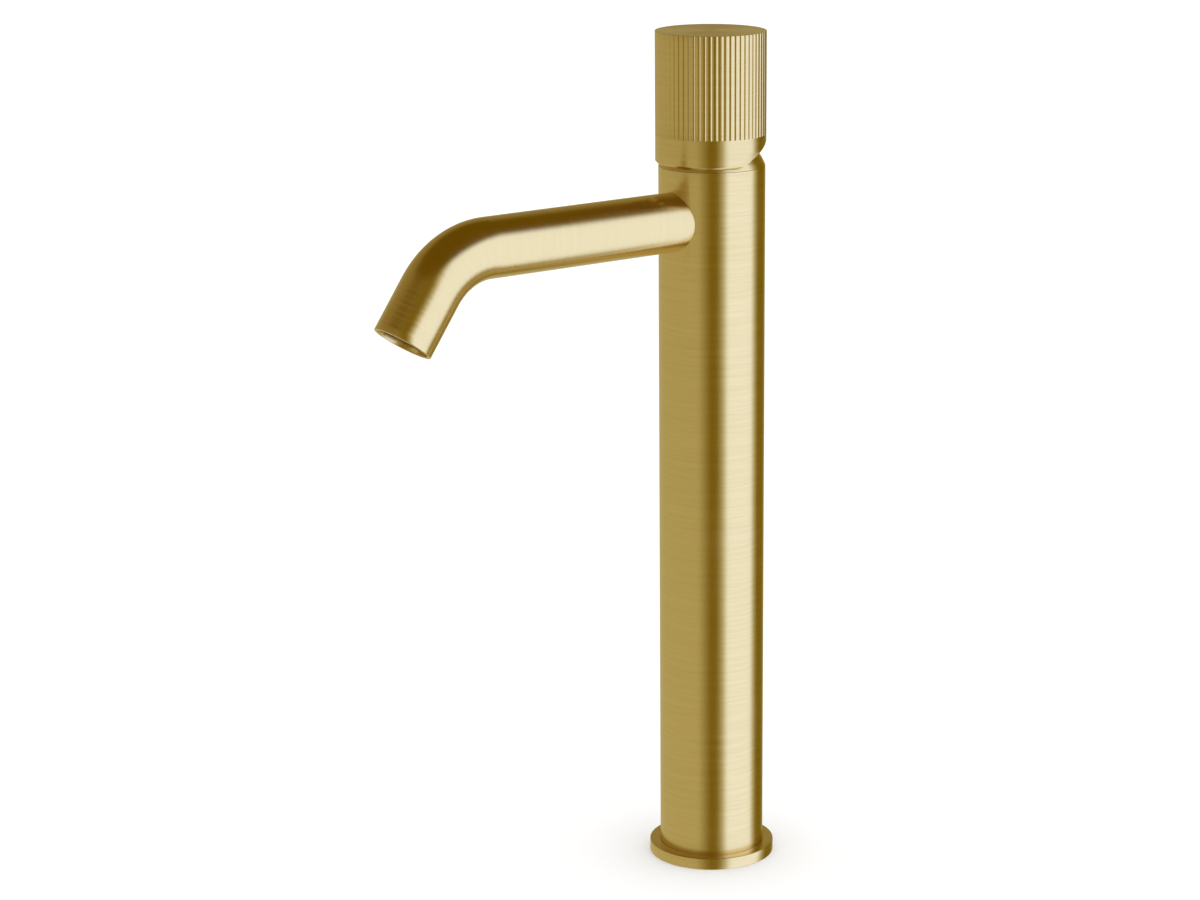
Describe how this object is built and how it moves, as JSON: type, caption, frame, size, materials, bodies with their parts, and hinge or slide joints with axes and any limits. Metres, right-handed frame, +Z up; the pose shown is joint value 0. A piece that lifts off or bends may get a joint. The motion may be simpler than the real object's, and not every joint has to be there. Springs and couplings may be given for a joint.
{
  "type": "bathroom mixer faucet",
  "caption": "Tall single-lever basin mixer in brushed gold with a tubular column, a bent spout and a fluted knob that tips and turns.",
  "frame": {"origin": "centre of the base on the deck, on the column's axis", "axes": "+Z up along the column, spout towards -Y, +X to the right seen from the front; hot inlet on -X"},
  "size_m": [0.0542, 0.1934, 0.3615],
  "materials": {
    "brushed_gold": "finely brushed, satin, gold PVD",
    "machined_brass": "turned and cast, uncoated",
    "copper_tube": "drawn copper tube",
    "stainless": "plain stainless steel",
    "black_rubber": "smooth moulded rubber",
    "white_plastic": "moulded acetal",
    "grey_plastic": "moulded nylon",
    "red_plastic": "moulded acetal",
    "alumina_ceramic": "lapped alumina"
  },
  "bodies": {
    "mixer_body": {"body_column": "brushed_gold", "base_flange": "brushed_gold", "base_gasket": "black_rubber", "base_plug": "machined_brass", "base_plug_oring": "black_rubber", "ring_clamp_plate": "stainless", "clamp_screw": "stainless", "left_foot_screw": "stainless", "right_foot_screw": "stainless", "hot_riser_tube": "copper_tube", "cold_riser_tube": "copper_tube", "hot_riser_lower_oring": "black_rubber", "hot_riser_upper_oring": "black_rubber", "cold_riser_lower_oring": "black_rubber", "cold_riser_upper_oring": "black_rubber", "riser_spacer": "grey_plastic", "valve_body": "machined_brass", "gallery_lower_plug": "machined_brass", "gallery_front_plug": "machined_brass", "spout_tube": "brushed_gold", "spout_nipple": "machined_brass", "nipple_inner_oring": "black_rubber", "nipple_outer_oring": "black_rubber", "spout_inner_collar": "machined_brass", "spout_grub_screw": "stainless", "aerator_housing": "grey_plastic", "aerator_screen": "stainless", "aerator_washer": "black_rubber", "cartridge_housing": "white_plastic", "cartridge_base": "white_plastic", "hot_inlet_seal": "black_rubber", "cold_inlet_seal": "black_rubber", "outlet_seal": "black_rubber", "fixed_disc": "alumina_ceramic", "hot_limit_ring": "red_plastic", "cartridge_nut": "machined_brass", "dome_cap": "brushed_gold"},
    "rotor": {"cartridge_rotor": "white_plastic", "pivot_pin": "stainless"},
    "lever": {"lever_stem": "machined_brass", "control_knob": "brushed_gold", "knob_insert": "grey_plastic", "knob_grub_screw": "stainless", "grub_hole_plug": "brushed_gold"},
    "disc_slider": {"disc_carrier": "grey_plastic", "moving_disc": "alumina_ceramic"}
  },
  "joints": [
    {"name": "temperature_turn", "type": "hinge", "parent": "mixer_body", "child": "rotor", "pos_m": [0, 0, 0.29643], "axis": [0, 0, 1], "range_deg": [-45, 45]},
    {"name": "flow_tilt", "type": "hinge", "parent": "rotor", "child": "lever", "pos_m": [0, 0, 0.29643], "axis": [-1, 0, 0], "range_deg": [0, 25]},
    {"name": "disc_slide", "type": "slide", "parent": "rotor", "child": "disc_slider", "axis": [0, -1, 0], "range_m": [0, 0.00359]}
  ],
  "couplings": [
    {"joint": "disc_slide", "follows": "flow_tilt", "m_per_rad": 0.008}
  ]
}
